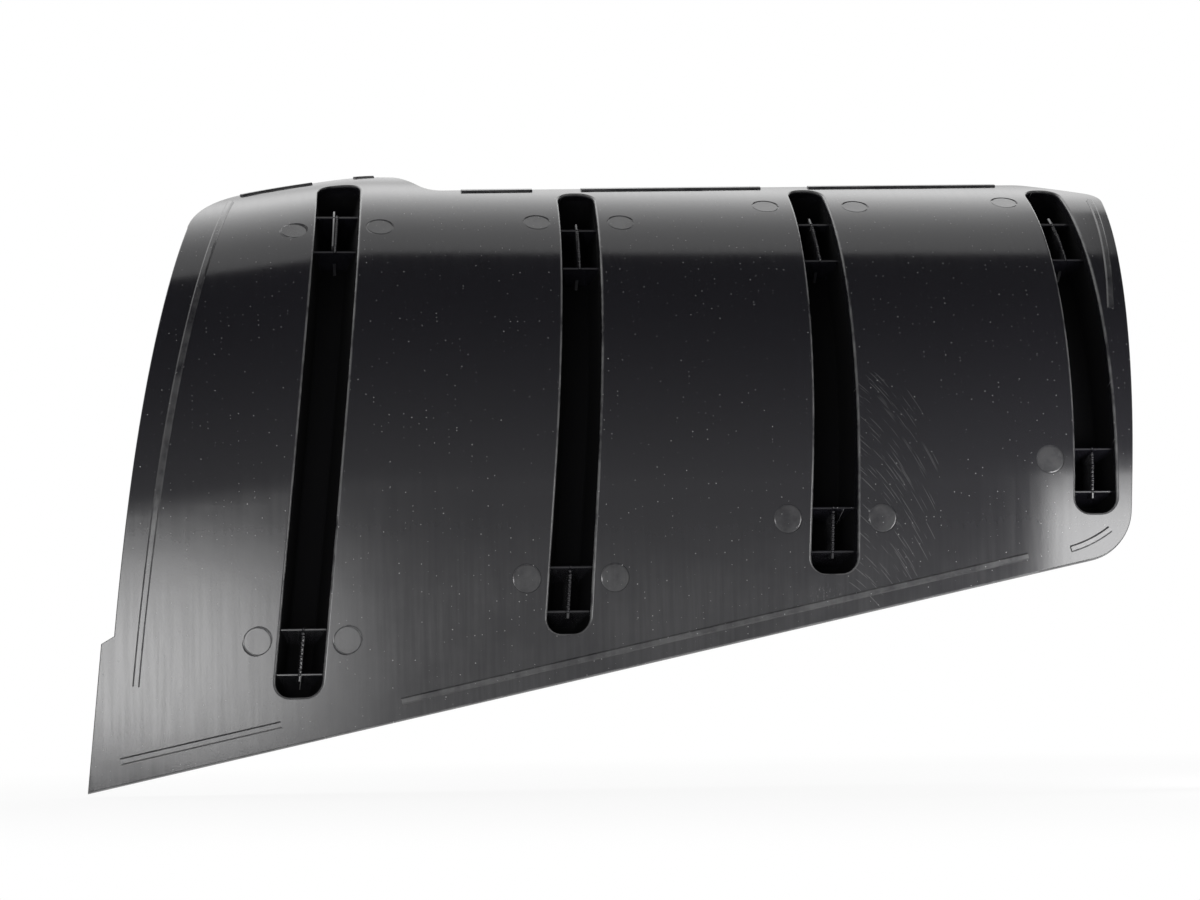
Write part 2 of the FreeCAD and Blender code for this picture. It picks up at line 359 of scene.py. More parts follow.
def arcFromPlan(x, p):
    bend = float(bendAt(np.array(x)))
    turn = float(turnAt(np.array(x), p))
    return sheet["bendRadius"] * turn if turn > 0 else p - bend


def planFromArc(x, run):
    turn = np.maximum(run, 0) / sheet["bendRadius"]
    rolled = sheet["bendRadius"] * (np.sin(turn) - drawFall * np.cos(turn) + drawFall)
    return bendAt(x) + np.where(run > 0, rolled, run)


def markLoop(x, p, radius):
    turns = np.linspace(0, 2 * math.pi, mark["steps"], endpoint=False)
    xs = x + radius * np.cos(turns)
    return np.stack([xs, planFromArc(xs, arcFromPlan(x, p) + radius * np.sin(turns))], -1)


def panelEdge(shell, loop, front, back):
    # the panel's own edge, rounded on both sides
    wall, edge = sheet["wall"], sheet["edgeRound"]
    levels = [(edge * (1 - math.sin(t)), edge * (1 - math.cos(t))) for t in quarter[1:]]
    levels += [(edge * (1 - math.cos(t)), wall - edge * (1 - math.sin(t))) for t in quarter[:-1]]
    last = front
    for inset, depth in levels:
        ring = insetLoop(loop, inset)
        new = shell.ring(onSheet(ring[:, 0], ring[:, 1], depth)[0], wear=sheet["edgeWear"])
        shell.bridge(new, last)
        last = new
    shell.bridge(back, last)


def finChannel(shell, fin, rim):
    # rounded rim, drafted walls, rounded floor
    wornLitFrom, wornLitTo = channel["wornLitTurns"]
    last = rim
    for turn in channel["rimTurns"]:
        t = math.radians(turn)
        depth = channel["rim"] * (1 - math.cos(t))
        ring = slotLoop(fin, channel["rim"] * (1 - math.sin(t)), depth)
        # wear and painted highlight on the rim, strongest between the worn turns
        wear = channel["wornLitWear"] if wornLitFrom <= turn <= wornLitTo else channel["rimWearAndHighlight"]
        new = shell.ring(onSheet(ring[:, 0], ring[:, 1], depth)[0], wear=wear)
        shell.bridge(last, new)
        last = new
    floor = channel["floorRound"]
    levels = [(0.0, d) for d in channel["wallDepths"]]
    levels += [(-floor * (1 - math.cos(t)), channel["depth"] - floor * (1 - math.sin(t))) for t in quarter]
    for grow, depth in levels:
        ring = slotLoop(fin, grow, depth)
        # painted shade: each ring is painted darker the deeper it lies, fully from the dim depth on
        channelShade = min(1.0, depth / channel["dim"])
        new = shell.ring(onSheet(ring[:, 0], ring[:, 1], depth)[0], channelShade=channelShade)
        shell.bridge(last, new)
        last = new
    shell.close(last)


def finBack(shell, fin, foot):
    # the fin's hidden side
    wall, floor, bulge = sheet["wall"], channel["floorRound"], channel["footRound"]
    outer = channel["depth"] + wall
    levels = [(bulge * (1 - math.sin(t)), wall + bulge * (1 - math.cos(t))) for t in quarter[1:]]
    levels += [(0.0, d + wall) for d in channel["wallDepths"][1:]]
    levels += [(-floor * (1 - math.cos(t)), outer - floor * (1 - math.sin(t))) for t in quarter]
    last = foot
    for grow, depth in levels:
        ring = slotLoop(fin, wall + grow, depth, wall)
        new = shell.ring(onSheet(ring[:, 0], ring[:, 1], depth)[0])
        shell.bridge(last, new, flip=True)
        last = new
    shell.close(last, flip=True)


def roundMark(shell, x, p, rim):
    # a shallow groove round a disc that stays flat where the sheet is curved
    place, normal = onSheet(x, p)
    aside = np.array([1.0, 0, 0])
    upward = np.cross(aside, -normal)
    turns = np.linspace(0, 2 * math.pi, mark["steps"], endpoint=False)
    spokes = np.cos(turns)[:, None] * aside + np.sin(turns)[:, None] * unit(upward)
    level = np.repeat(normal[None], mark["steps"], 0)
    last = rim
    groove = mark["groove"]
    for inset, sink in ((0.0, groove), (mark["ring"], groove), (mark["ringSlope"], mark["sink"])):
        points = place + spokes * (mark["radius"] - inset) - normal * sink
        new = shell.ring(points, level, mark["wear"])
        shell.bridge(last, new)
        last = new
    centre = shell.ring((place - normal * mark["sink"])[None], normal[None], mark["wear"])[0]
    for i in range(len(last)):
        shell.face((last[i], last[(i + 1) % len(last)], centre), True)


def deflectorPanel():
    shell = Shell()
    wall = sheet["wall"]
    loop = outlineLoop()
    border = insetLoop(loop, sheet["edgeRound"])
    marks = list(markPlaces())
    rimLoops = [slotLoop(fin, channel["rim"], 0.0) for fin in fins]
    markLoops = [markLoop(x, p, mark["radius"] + mark["lip"]) for x, p in marks]
    front = shell.skin(border, rimLoops + markLoops, 0.0)
    footLoops = [slotLoop(fin, wall + channel["footRound"], wall, wall) for fin in fins]
    back = shell.skin(border, footLoops, wall, flip=True)
    print("skins", shell.count, "points")
    panelEdge(shell, loop, front[0], back[0])
    for fin, rim, foot in zip(fins, front[1:], back[1:]):
        finChannel(shell, fin, rim)
        finBack(shell, fin, foot)
    for (x, p), rim in zip(marks, front[1 + len(fins):]):
        roundMark(shell, x, p, rim)
    return shell.build("deflectorPanel")


class Wire:
    # a node socket that takes part in Python expressions
    def __init__(self, tree, socket=None):
        self.tree, self.socket = tree, socket

    def put(self, kind, settings=None, links=None, out=0):
        node = self.tree.nodes.new(kind)
        for key, value in (settings or {}).items():
            setattr(node, key, value)
        for key, value in (links or {}).items():
            if isinstance(value, Wire):
                self.tree.links.new(value.socket, node.inputs[key])
            else:
                node.inputs[key].default_value = value
        return Wire(self.tree, node.outputs[out] if len(node.outputs) else None)

    def math(self, operation, first, second=0.0):
        return self.put("ShaderNodeMath", {"operation": operation}, {0: first, 1: second})

    def __add__(self, other):
        return self.math("ADD", self, other)

    def __radd__(self, other):
        return self.math("ADD", other, self)

    def __sub__(self, other):
        return self.math("SUBTRACT", self, other)

    def __rsub__(self, other):
        return self.math("SUBTRACT", other, self)

    def __mul__(self, other):
        return self.math("MULTIPLY", self, other)

    def __rmul__(self, other):
        return self.math("MULTIPLY", other, self)

    def __truediv__(self, other):
        return self.math("DIVIDE", self, other)

    def __rtruediv__(self, other):
        return self.math("DIVIDE", other, self)

    def __pow__(self, other):
        return self.math("POWER", self, other)

    def __gt__(self, other):
        return self.math("GREATER_THAN", self, other)

    def __lt__(self, other):
        return self.math("LESS_THAN", self, other)

    def __abs__(self):
        return self.math("ABSOLUTE", self)

    def limit(self):
        return self.math("MINIMUM", self.math("MAXIMUM", self, 0.0), 1.0)

    def fade(self, start, end):
        # 0 at start, 1 at end, smooth between
        return self.put("ShaderNodeMapRange", {"interpolation_type": "SMOOTHSTEP"},
                        {"Value": self, "From Min": start, "From Max": end})

    def stretch(self, scale):
        return self.put("ShaderNodeMapping", {}, {"Vector": self, "Scale": scale})

    def noise(self, scale, detail, rough):
        return self.put("ShaderNodeTexNoise", {}, {"Vector": self, "Scale": scale, "Detail": detail,
                                                   "Roughness": rough})

    def split(self):
        node = self.put("ShaderNodeSeparateXYZ", {}, {0: self}).socket.node
        return [Wire(self.tree, out) for out in node.outputs]

    def spots(self):
        # distance to the middle of the nearest flat cell, and a chance value of that cell
        near = self.put("ShaderNodeTexVoronoi", {"voronoi_dimensions": "2D"}, {"Vector": self, "Scale": 1.0})
        colour = Wire(self.tree, near.socket.node.outputs["Color"])
        return near, self.put("ShaderNodeSeparateColor", {}, {0: colour})

    def mark(self, name):
        # a value stored on the points of the mesh
        return self.put("ShaderNodeAttribute", {"attribute_name": name}, {}, "Fac")


def spotField(x, plan, spot):
    # 0 in the middle of an oval spot, 1 on its border
    return ((x - spot[0]) / spot[2]) ** 2.0 + ((plan - spot[1]) / spot[3]) ** 2.0


def emptyMaterial(name):
    paint = bpy.data.materials.new(name)
    paint.use_nodes = True
    paint.node_tree.nodes.clear()
    return paint, Wire(paint.node_tree)


# spots are x, height, half width and half height in plan; noises are scale, detail and roughness
plastic = {
    "black": (0.0105, 0.0102, 0.0135, 1),
    # black of the painted channel shade
    "channelShadeBlack": (0.003, 0.003, 0.0035, 1),
    # one pale tint for dust, wear and the painted rim highlight
    "dustAndSheenColour": (0.30, 0.30, 0.30, 1),
    "gloss": 0.13,
    "ior": 1.5,
    # matt finish of the painted channel shade
    "dullRough": 0.9,
    "dullShine": 0.1,
    # the lower paling starts at its top and is full at its foot; shares are the least part and the part from
    # the noise
    "lowerPaleTop": 35.0,
    "lowerPaleFoot": -35.0,
    "lowerPaleTint": 0.10,
    "lowerPaleGloss": 0.03,
    "softEdge": (0.3, 0.7),
    "cloudNoise": (0.018, 4.0, 0.6),
    "cloudShare": (0.35, 0.6),
    "streakStretch": (0.35, 0.014, 1),
    "streakNoise": (1.0, 4.0, 0.6),
    "streakShare": (0.7, 0.6),
    "streakGloss": 0.04,
    "speckPitch": 4.2,
    "speckSize": 0.36,
    "speckRarity": 5.0,
    "speckEdge": 0.02,
    "speckTint": 0.95,
    "speckGloss": 0.3,
    "strokeFrom": 85.0,
    "strokeFall": 0.8,
    "strokeBow": 0.014,
    "strokePitch": (1.5, 15.0),
    "strokeReach": 0.36,
    "strokeEdge": 0.15,
    "strokeShare": 0.9,
    "strokeTint": 0.12,
    "strokeGloss": 0.2,
    "strokeDent": 0.4,
    "strokeSpot": (98.0, 46.0, 38.0, 78.0),
    "strokeFade": (1.0, 0.2),
    "scuffSpot": (68.0, -22.0, 15.0, 9.0),
    "scuffFade": (1.0, 0.1),
    "scuffStretch": (0.9, 0.3, 1),
    "scuffNoise": (1.0, 5.0, 0.7),
    "scuffEdge": (0.5, 0.7),
    "scuffTint": 0.14,
    "scuffGloss": 0.25,
    "wearNoise": (0.06, 4.0, 0.65),
    "wearEdge": (0.25, 0.65),
    # tint of the wear and of the painted rim highlight
    "wearAndHighlightTint": 0.45,
    "wearGloss": 0.12,
    "grain": 0.05,
    "grainDepth": 0.0004,
    "grainNoise": (0.9, 3.0, 0.5),
    "grainHeight": 0.5,
    "waveNoise": (0.03, 2.0, 0.5),
    "waveHeight": 2.5,
}


def blackPlastic(look):
    paint, start = emptyMaterial("blackPlastic")
    coords = start.put("ShaderNodeTexCoord", {}, {}, "Object")
    place = coords.put("ShaderNodeVectorMath", {"operation": "SCALE"}, {0: coords, "Scale": 1 / metre})
    x, y, z = place.split()
    plan = z + y * drawFall
    flat = start.put("ShaderNodeCombineXYZ", {}, {"X": x, "Y": plan})
    front, wear, channelShade = start.mark("front"), start.mark("wear"), start.mark("channelShade")

    # lighter and rougher towards the lower edge, with upright wipe streaks
    streaks = flat.stretch(look["streakStretch"]).noise(*look["streakNoise"]).fade(*look["softEdge"])
    cloud = place.noise(*look["cloudNoise"]).fade(*look["softEdge"])
    lowerPale = plan.fade(look["lowerPaleTop"], look["lowerPaleFoot"])
    lowerPale = lowerPale * (look["cloudShare"][0] + look["cloudShare"][1] * cloud)
    lowerPale = (lowerPale * (look["streakShare"][0] + look["streakShare"][1] * streaks)).limit()

    # dust specks, one at most in each cell
    near, luck = flat.stretch((1 / look["speckPitch"],) * 3).spots()
    size = look["speckSize"] / look["speckPitch"] * luck ** look["speckRarity"]
    speck = (size - near).fade(0.0, look["speckEdge"])

    # bowed strokes that fan out on one rubbed patch beside the third fin
    aside = x - look["strokeFrom"]
    across = plan + look["strokeFall"] * aside + look["strokeBow"] * aside * aside
    laid = start.put("ShaderNodeCombineXYZ", {}, {"X": across / look["strokePitch"][0],
                                                  "Y": x / look["strokePitch"][1]})
    near, luck = laid.spots()
    patch = spotField(x, plan, look["strokeSpot"]).fade(*look["strokeFade"]) * front
    stroke = (look["strokeReach"] * luck - near).fade(0.0, look["strokeEdge"])
    stroke = stroke * (luck > 1.0 - look["strokeShare"] * patch)

    # a scrape below the third fin
    scuff = spotField(x, plan, look["scuffSpot"]).fade(*look["scuffFade"]) * front
    scuff = scuff * flat.stretch(look["scuffStretch"]).noise(*look["scuffNoise"]).fade(*look["scuffEdge"])

    # rims, edges, beads and marks painted lighter: rubbed wear, and on the channel rims a painted highlight
    # too
    wornAndLit = (wear * place.noise(*look["wearNoise"]).fade(*look["wearEdge"])).limit()

    # one pale tint sums specks, the lower paling, strokes, scuff, wear and the painted rim highlight
    dustAndSheen = look["speckTint"] * speck + look["lowerPaleTint"] * lowerPale + look["strokeTint"] * stroke
    # painted shade: the channel shade also blacks out every lighter tint
    dustAndSheen = ((dustAndSheen + look["scuffTint"] * scuff + look["wearAndHighlightTint"] * wornAndLit) * (1 - channelShade)).limit()
    colour = start.put("ShaderNodeMix", {"data_type": "RGBA"},
                       {0: dustAndSheen, 6: look["black"], 7: look["dustAndSheenColour"]}, 2)
    rough = look["gloss"] + look["lowerPaleGloss"] * lowerPale + look["streakGloss"] * (streaks - 0.5)
    rough = rough + look["strokeGloss"] * stroke + look["scuffGloss"] * scuff
    rough = (rough + look["speckGloss"] * speck + look["wearGloss"] * wornAndLit).limit()
    height = place.noise(*look["grainNoise"]) * look["grainHeight"]
    height = height + place.noise(*look["waveNoise"]) * look["waveHeight"] - stroke * look["strokeDent"]
    bump = start.put("ShaderNodeBump", {}, {"Strength": look["grain"], "Distance": look["grainDepth"],
                                            "Height": height})
    body = start.put("ShaderNodeBsdfPrincipled", {}, {"Base Color": colour, "Roughness": rough,
                                                      "IOR": look["ior"], "Normal": bump})
    # painted shade: channels are painted matt and black with depth, standing in for the shade inside them
    paintedShade = start.put("ShaderNodeBsdfPrincipled", {}, {"Base Color": look["channelShadeBlack"],
                                                      "Roughness": look["dullRough"],
                                                      "Specular IOR Level": look["dullShine"]})
    mixed = start.put("ShaderNodeMixShader", {}, {0: channelShade, 1: body, 2: paintedShade})
    start.put("ShaderNodeOutputMaterial", {}, {"Surface": mixed})
    return paint


def nodeTree(name, inputs):
    # a geometry tree with named inputs, and the wires that leave its input node
    tree = bpy.data.node_groups.new(name, "GeometryNodeTree")
    tree.interface.new_socket("Geometry", in_out="INPUT", socket_type="NodeSocketGeometry")
    for label, kind in inputs:
        tree.interface.new_socket(label, in_out="INPUT", socket_type=kind)
    tree.interface.new_socket("Geometry", in_out="OUTPUT", socket_type="NodeSocketGeometry")
    source = tree.nodes.new("NodeGroupInput")
    return tree, {s.name: Wire(tree, s) for s in source.outputs if s.name}


def endTree(tree, shape, material):
    whole = shape.put("GeometryNodeRealizeInstances", {}, {0: shape})
    whole = whole.put("GeometryNodeSetMaterial", {}, {0: whole, "Material": material})
    tree.links.new(whole.socket, tree.nodes.new("NodeGroupOutput").inputs[0])


def grow(name, mesh, tree, values):
    # runs a tree on a mesh of points or lines and keeps the result as a plain mesh
    piece = bpy.data.objects.new(name, mesh)
    run = piece.modifiers.new("grow", "NODES")
    run.node_group = tree
    for item in tree.interface.items_tree:
        if item.in_out == "INPUT" and item.name in values:
            run[item.identifier] = values[item.name]
    bpy.context.scene.collection.objects.link(piece)
    ready = piece.evaluated_get(bpy.context.evaluated_depsgraph_get())
    made = bpy.data.meshes.new_from_object(ready)
    piece.modifiers.clear()
    piece.data = made
    made.name = name
    return piece


# top beads run between two corners of the outline; curved ones have plan ends and a bow
beads = {
    "width": 4.0, "height": 1.0, "step": 3.0, "corner": 0.85, "wear": 0.4, "bottomAngle": 12.0,
    "bottom": [(12.5, -331.0, -243.0), (10.0, -176.0, 185.0)],
    "topInset": 2.3,
    "top": [(4, 3, [(-127.0, -84.0), (-54.0, 57.0), (87.0, 206.0)]), (6, 5, [(-187.5, -176.0)])],
    "curved": [((-264.0, 266.0), (-322.5, -67.0), -6.7), ((210.5, 3.0), (234.0, 14.3), -1.2),
               ((246.0, 155.0), (258.0, 258.0), -1.0), ((-257.0, 277.2), (-214.0, 291.2), 1.1)],
}


def beadPaths():
    corners = outline["corners"]
    slope = math.tan(math.radians(beads["bottomAngle"]))
    for inset, fromX, toX in beads["bottom"]:
        rise = inset / math.cos(math.radians(beads["bottomAngle"]))
        yield [np.array([x, corners[0][1] + (x - corners[0][0]) * slope + rise]) for x in (fromX, toX)]
    for left, right, spans in beads["top"]:
        a, b = corners[left], corners[right]
        steep = (b[1] - a[1]) / (b[0] - a[0])
        for fromX, toX in spans:
            yield [np.array([x, a[1] + (x - a[0]) * steep - beads["topInset"]]) for x in (fromX, toX)]
    for a, b, bow in beads["curved"]:
        yield bowedEdge(np.array(a), np.array(b), bow)


def storeVectors(mesh, name, vectors):
    mesh.attributes.new(name, "FLOAT_VECTOR", "POINT").data.foreach_set("vector", np.array(vectors).ravel())


def pathMesh(name, paths, depth=0.0):
    # lines along the sheet at a depth, each point with the outward way there
    points, outward, edges = [], [], []
    for path in paths:
        dense = []
        for a, b in zip(path, path[1:]):
            parts = max(1, math.ceil(np.linalg.norm(b - a) / beads["step"]))
            dense += [a + (b - a) * k / parts for k in range(parts)]
        dense = np.array(dense + [path[-1]])
        place, normal = onSheet(dense[:, 0], dense[:, 1], depth)
        edges += [(len(points) + k, len(points) + k + 1) for k in range(len(dense) - 1)]
        points += (place * metre).tolist()
        outward += normal.tolist()
    mesh = bpy.data.meshes.new(name)
    mesh.from_pydata(points, edges, [])
    storeVectors(mesh, "outward", outward)
    return mesh


def stripTree(material):
    # sweeps a chamfered bar along lines, flat to the sheet
    tree, wires = nodeTree("stripSweep", [("Width", "NodeSocketFloat"), ("Height", "NodeSocketFloat"),
                                          ("Corner", "NodeSocketFloat"), ("WearAndHighlight", "NodeSocketFloat")])
    shape = wires["Geometry"]
    shape = shape.put("GeometryNodeMeshToCurve", {}, {0: shape})
    normal = shape.put("GeometryNodeInputNamedAttribute", {"data_type": "FLOAT_VECTOR"},
                       {"Name": "outward"})
    shape = shape.put("GeometryNodeSetCurveNormal", {"mode": "FREE"}, {0: shape, "Normal": normal})
    profile = shape.put("GeometryNodeCurvePrimitiveQuadrilateral", {"mode": "RECTANGLE"},
                        {"Width": wires["Height"] * 2.0, "Height": wires["Width"]})
    profile = profile.put("GeometryNodeFilletCurve", {"mode": "POLY"},
                          {0: profile, "Radius": wires["Corner"], "Limit Radius": True, "Count": 1})
    swept = shape.put("GeometryNodeCurveToMesh", {},
                      {0: shape, "Profile Curve": profile, "Fill Caps": True})
    swept = swept.put("GeometryNodeSetShadeSmooth", {}, {0: swept, "Shade Smooth": False})
    swept = swept.put("GeometryNodeStoreNamedAttribute", {"data_type": "FLOAT", "domain": "POINT"},
                      {0: swept, "Name": "wear", "Value": wires["WearAndHighlight"]})
    endTree(tree, swept, material)
    return tree


def rimBeads(tree):
    return grow("rimBeads", pathMesh("beadPaths", beadPaths()), tree,
                {"Width": beads["width"] * metre, "Height": beads["height"] * metre,
                 "Corner": beads["corner"] * metre, "WearAndHighlight": beads["wear"]})


ribs = {
    "thick": 1.6, "drop": 7.0, "lowGap": 15.0, "lowPitch": 25.0, "highGap": 36.0, "highPitch": 36.0,
    "sink": 1.0,  # how far ribs and webs reach into the channel's floor
    "webCorner": 0.4, "wear": 0.3,
    # rounded top edge, in shares of half the thickness and of the height
    "crownWidth": 0.7, "crownDrop": 0.008, "crownFoot": 0.03,
    "dropSize": 1.0, "dropPitch": 2.3, "dropSpread": (0.75, 1.15), "dropSeed": 7, "dropRounds": 2,
}


def ribPairs(fin):
    yield fin["low"] + ribs["lowGap"], fin["low"] + ribs["lowGap"] + ribs["lowPitch"]
    yield fin["high"] - ribs["highGap"] - ribs["highPitch"], fin["high"] - ribs["highGap"]


def webPaths():
    for fin in fins:
        for low, high in ribPairs(fin):
            yield [np.array([finMiddle(fin, p), p]) for p in (low, high)]


def channelWebs(tree):
    half = (channel["depth"] + ribs["sink"] - ribs["drop"]) / 2
    return grow("channelWebs", pathMesh("webPaths", webPaths(), ribs["drop"] + half), tree,
                {"Width": ribs["thick"] * metre, "Height": half * metre,
                 "Corner": ribs["webCorner"] * metre, "WearAndHighlight": ribs["wear"]})


def webDrops(material):
    # the beaded top edge of each web
    tree, wires = nodeTree("webDrops", [("Size", "NodeSocketFloat"), ("Pitch", "NodeSocketFloat"),
                                        ("Seed", "NodeSocketInt")])
    line = wires["Geometry"]
    line = line.put("GeometryNodeMeshToCurve", {}, {0: line})
    spots = line.put("GeometryNodeCurveToPoints", {"mode": "LENGTH"}, {0: line, "Length": wires["Pitch"]})
    ball = spots.put("GeometryNodeMeshIcoSphere", {}, {"Radius": wires["Size"],
                                                       "Subdivisions": ribs["dropRounds"]})
    ball = ball.put("GeometryNodeSetShadeSmooth", {}, {0: ball, "Shade Smooth": True})
    size = spots.put("FunctionNodeRandomValue", {"data_type": "FLOAT"},
                     {2: ribs["dropSpread"][0], 3: ribs["dropSpread"][1], "Seed": wires["Seed"]}, 1)
    spots = spots.put("GeometryNodeInstanceOnPoints", {}, {0: spots, "Instance": ball, "Scale": size})
    endTree(tree, spots, material)
    return grow("webDrops", pathMesh("dropPaths", webPaths(), ribs["drop"]), tree,
                {"Size": ribs["dropSize"] * metre, "Pitch": ribs["dropPitch"] * metre,
                 "Seed": ribs["dropSeed"]})


def ribPlate(name):
    # one cross rib: x across, y along the draw direction from 0 to 1, z through its thickness
    draft = math.tan(math.radians(channel["draft"]))
    half = ribs["thick"] / 2
    wide = [channel["mouth"] / 2 - d * draft for d in (ribs["drop"], channel["depth"])]
    crown = [(half * ribs["crownWidth"], ribs["crownDrop"]), (half, ribs["crownFoot"])]
    section = [(-z, share) for z, share in crown[::-1]] + [(0.0, 0.0)] + crown + [(half, 1.0), (-half, 1.0)]
    points = []
    for side in (-1, 1):
        for z, share in section:
            points.append((side * (wide[0] + (wide[1] - wide[0]) * share) * metre, share, z * metre))
    n = len(section)
    faces = [(i, (i + 1) % n, n + (i + 1) % n, n + i) for i in range(n)]
    faces += [tuple(range(n))[::-1], tuple(range(n, 2 * n))]
    mesh = bpy.data.meshes.new(name)
    mesh.from_pydata(points, [], faces)
    return bpy.data.objects.new(name, mesh)


def channelRibs(material):
    points, sizes = [], []
    for fin in fins:
        for pair in ribPairs(fin):
            for p in pair:
                x = finMiddle(fin, p)
                top = onSheet(x, p, ribs["drop"])[0]
                foot = onSheet(x, p, channel["depth"] + ribs["sink"])[0]
                points.append(top * metre)
                sizes.append((1.0, float(np.linalg.norm(foot - top)) * metre, 1.0))
    mesh = bpy.data.meshes.new("ribPlaces")
    mesh.from_pydata([tuple(p) for p in points], [], [])
    storeVectors(mesh, "plateSize", sizes)
    plate = ribPlate("ribPlate")
    tree, wires = nodeTree("ribPlates", [("Plate", "NodeSocketObject"), ("Lean", "NodeSocketFloat")])
    spots = wires["Geometry"]
    shape = spots.put("GeometryNodeObjectInfo", {}, {"Object": wires["Plate"]}, "Geometry")
    size = spots.put("GeometryNodeInputNamedAttribute", {"data_type": "FLOAT_VECTOR"},
                     {"Name": "plateSize"})
    turn = spots.put("ShaderNodeCombineXYZ", {}, {"X": wires["Lean"]})
    shape = spots.put("GeometryNodeInstanceOnPoints", {}, {0: spots, "Instance": shape, "Rotation": turn,
                                                           "Scale": size})
    endTree(tree, shape, material)
    return grow("channelRibs", mesh, tree, {"Plate": plate, "Lean": -tilt})


# sizes of the stage are in metres, apart from the floor's height
stage = {
    "floorHeight": -127.0, "floorSize": 12.0, "floorWhite": 0.85, "cameraWhite": 0.9, "whiteFrom": 0.35,
    "whiteFull": 0.8, "roomLight": 0.6,
    # cove: a dim half dome in front, brightest near the horizon
    "coveRadius": 6.0, "coveLean": 0.08, "coveRings": 12, "coveSpokes": 36,
    "coveLow": 0.07, "coveRise": 0.58, "coveFall": 1.2, "coveBand": 0.3, "coveBandEdge": (0.062, 0.015),
    # overhead board: its sharp front edge, dark at the right of it
    "overheadPlace": (0.0, 0.12, 1.5), "overheadGlow": 2.75,
    "overheadCorners": [(-3, 0), (3, 0), (3, 3.4), (-3, 3.4)],
    "overheadLow": 0.39, "overheadRise": 0.59, "overheadFade": (0.2, 1.4), "overheadEnd": (1.25, 2.3),
    "darkX": (0.60, 0.75), "darkY": (0.8, 0.65), "darkShare": 0.95,
    # low boards in front, left and right of the camera: left, right, foot, top
    "leftPlace": (0.0, -0.9, 0.0), "leftGlow": 11.5, "leftSpan": (-0.70, -0.08, -0.12, 0.19),
    "leftSoft": (0.24, 0.10, 0.11),
    "rightPlace": (0.0, -0.25, 0.0), "rightGlow": 13.0, "rightSpan": (0.262, 0.38, -0.11, 0.12),
    "rightSoft": (0.012, 0.06, 0.035), "faintShare": 0.07,
}


def stagePiece(name, points, faces, paint):
    mesh = bpy.data.meshes.new(name)
    mesh.from_pydata(points, [], faces)
    mesh.materials.append(paint)
    piece = bpy.data.objects.new(name, mesh)
    bpy.context.scene.collection.objects.link(piece)
    return piece


def lightBoard(name, corners, place, turn, strength, shade, see=False):
    # a glowing board, seen only in reflections and as light; shade takes x and y on it to its brightness,
    # and what it leaves dark can be seen through
    glow, start = emptyMaterial(name)
    x, y = start.put("ShaderNodeTexCoord", {}, {}, "Object").split()[:2]
    if see:
        light = start.put("ShaderNodeEmission", {}, {"Strength": strength})
        clear = start.put("ShaderNodeBsdfTransparent")
        light = start.put("ShaderNodeMixShader", {}, {0: shade(x, y), 1: clear, 2: light})
    else:
        light = start.put("ShaderNodeEmission", {}, {"Color": shade(x, y), "Strength": strength})
    start.put("ShaderNodeOutputMaterial", {}, {"Surface": light})
    board = stagePiece(name, [(x, y, 0) for x, y in corners], [tuple(range(len(corners)))], glow)
    board.location, board.rotation_euler, board.visible_camera = place, turn, False


def lowBoard(name):
    # an upright board whose inner side fades out, and its top in a faint part and a main part
    left, right, foot, top = stage[name + "Span"]
    side, main, faint = stage[name + "Soft"]
    inner, outer = (right, right - side) if left < 0 else (left, left + side)
    share = stage["faintShare"]

    def shade(x, y):
        upper = share * y.fade(top, top - faint)
        return x.fade(inner, outer) * (upper + (1 - share) * y.fade(top - faint, top - faint - main))

    lightBoard(name + "Board", [(left, foot), (right, foot), (right, top), (left, top)],
               stage[name + "Place"], (math.pi / 2, 0, 0), stage[name + "Glow"], shade, True)


def overheadShade(x, y):
    # dim along its front edge, brightest further back, with one dark corner
    share = stage["darkShare"]
    corner = x.fade(*stage["darkX"]) * y.fade(*stage["darkY"])
    rise = y.fade(*stage["overheadFade"]) * (1 - share * y.fade(*stage["overheadEnd"]))
    return (stage["overheadLow"] + stage["overheadRise"] * rise) * (1 - share * corner)


def coveDome():
    axis = unit(np.array([0.0, -1.0, stage["coveLean"]]))
    aside = np.array([1.0, 0.0, 0.0])
    upward = np.cross(aside, axis)
    rings, spokes, radius = stage["coveRings"], stage["coveSpokes"], stage["coveRadius"]
    points, faces = [tuple(axis * radius)], []
    for i in range(1, rings + 1):
        t = math.pi / 2 * i / rings
        for k in range(spokes):
            s = 2 * math.pi * k / spokes
            way = axis * math.cos(t) + (aside * math.cos(s) + upward * math.sin(s)) * math.sin(t)
            points.append(tuple(way * radius))
            here, after = 1 + (i - 1) * spokes + k, 1 + (i - 1) * spokes + (k + 1) % spokes
            faces.append((0, here, after) if i == 1 else (here - spokes, here, after, after - spokes))
    dim, start = emptyMaterial("coveDome")
    coords = start.put("ShaderNodeTexCoord", {}, {}, "Object")
    way = start.put("ShaderNodeVectorMath", {"operation": "NORMALIZE"}, {0: coords})
    height = abs(way.split()[2])
    level = stage["coveLow"] + stage["coveRise"] * (1 - height) ** stage["coveFall"]
    level = level + stage["coveBand"] * height.fade(*stage["coveBandEdge"])
    light = start.put("ShaderNodeEmission", {}, {"Color": level, "Strength": 1.0})
    start.put("ShaderNodeOutputMaterial", {}, {"Surface": light})
    stagePiece("coveDome", points, faces, dim).visible_camera = False


def backgroundSeen(start):
    # 1 for the rays that see the white background: from the camera, mirrored or passed through
    path = start.put("ShaderNodeLightPath").socket.node
    kinds = ("Is Camera Ray", "Is Glossy Ray", "Is Transmission Ray")
    camera, glossy, through = [Wire(start.tree, path.outputs[kind]) for kind in kinds]
    return (camera + glossy + through).limit()


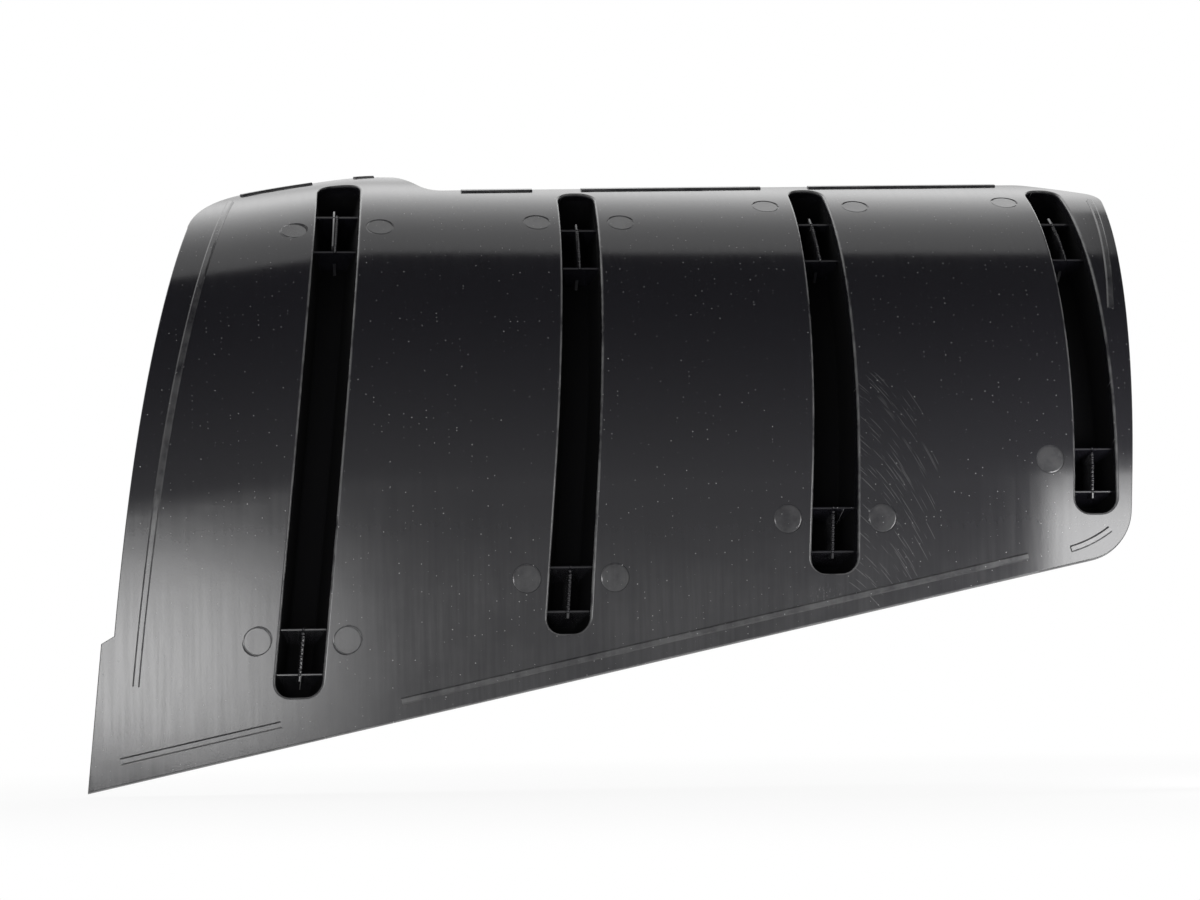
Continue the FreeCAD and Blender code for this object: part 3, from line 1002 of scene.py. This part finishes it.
def studio():
    # floor that keeps the shadow, and turns plain white away from the part
    size, z, white = stage["floorSize"], stage["floorHeight"] * metre, stage["floorWhite"]
    pale, start = emptyMaterial("studioFloor")
    matt = start.put("ShaderNodeBsdfDiffuse", {}, {"Color": (white, white, white, 1)})
    glow = start.put("ShaderNodeEmission", {}, {"Strength": 1.0})
    coords = start.put("ShaderNodeTexCoord", {}, {}, "Object")
    away = start.put("ShaderNodeVectorMath", {"operation": "LENGTH"}, {0: coords}, "Value")
    plain = away.fade(stage["whiteFrom"], stage["whiteFull"])
    plain = stage["cameraWhite"] + (1 - stage["cameraWhite"]) * plain
    mixed = start.put("ShaderNodeMixShader", {}, {0: backgroundSeen(start) * plain, 1: matt, 2: glow})
    start.put("ShaderNodeOutputMaterial", {}, {"Surface": mixed})
    corners = [(-size, -size, z), (size, -size, z), (size, size, z), (-size, size, z)]
    stagePiece("studioFloor", corners, [(0, 1, 2, 3)], pale)

    coveDome()
    lightBoard("overheadBoard", stage["overheadCorners"], stage["overheadPlace"], (0, 0, 0),
               stage["overheadGlow"], overheadShade)
    lowBoard("left")
    lowBoard("right")

    world = bpy.data.worlds.new("studioWorld")
    bpy.context.scene.world = world
    world.use_nodes = True
    world.node_tree.nodes.clear()
    start = Wire(world.node_tree)
    room = stage["roomLight"]
    light = start.put("ShaderNodeBackground", {}, {"Color": room + (1 - room) * backgroundSeen(start),
                                                   "Strength": 1.0})
    start.put("ShaderNodeOutputWorld", {}, {"Surface": light})


# near and far are in metres
viewpoint = {
    "place": (-329.8, -1857.7, -68.8),
    "right": (0.9898, -0.1415, -0.0171),
    "forward": (0.1423, 0.9874, 0.0695),
    "lens": 100.0,
    "sensor": 36.0,
    "near": 0.05,
    "far": 50.0,
}


def photoCamera():
    data = bpy.data.cameras.new("photoCamera")
    data.lens, data.sensor_width, data.sensor_fit = viewpoint["lens"], viewpoint["sensor"], "HORIZONTAL"
    data.clip_start, data.clip_end = viewpoint["near"], viewpoint["far"]
    camera = bpy.data.objects.new("photoCamera", data)
    bpy.context.scene.collection.objects.link(camera)
    back = -Vector(viewpoint["forward"]).normalized()
    right = Vector(viewpoint["right"])
    right = (right - back * right.dot(back)).normalized()
    turn = Matrix((right, back.cross(right), back)).transposed()
    camera.matrix_world = Matrix.Translation(Vector(viewpoint["place"]) * metre) @ turn.to_4x4()
    bpy.context.scene.camera = camera


paint = blackPlastic(plastic)
panel = deflectorPanel()
panel.data.materials.append(paint)
print("panel", len(panel.data.polygons), "faces")
strips = stripTree(paint)
pieces = [panel, rimBeads(strips), channelWebs(strips), webDrops(paint), channelRibs(paint)]
for piece in pieces:
    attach(piece, "root")
    print("piece", piece.name, len(piece.data.polygons), "faces")
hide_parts("deflector_panel")

studio()
photoCamera()
bpy.context.scene.view_settings.view_transform = "Standard"
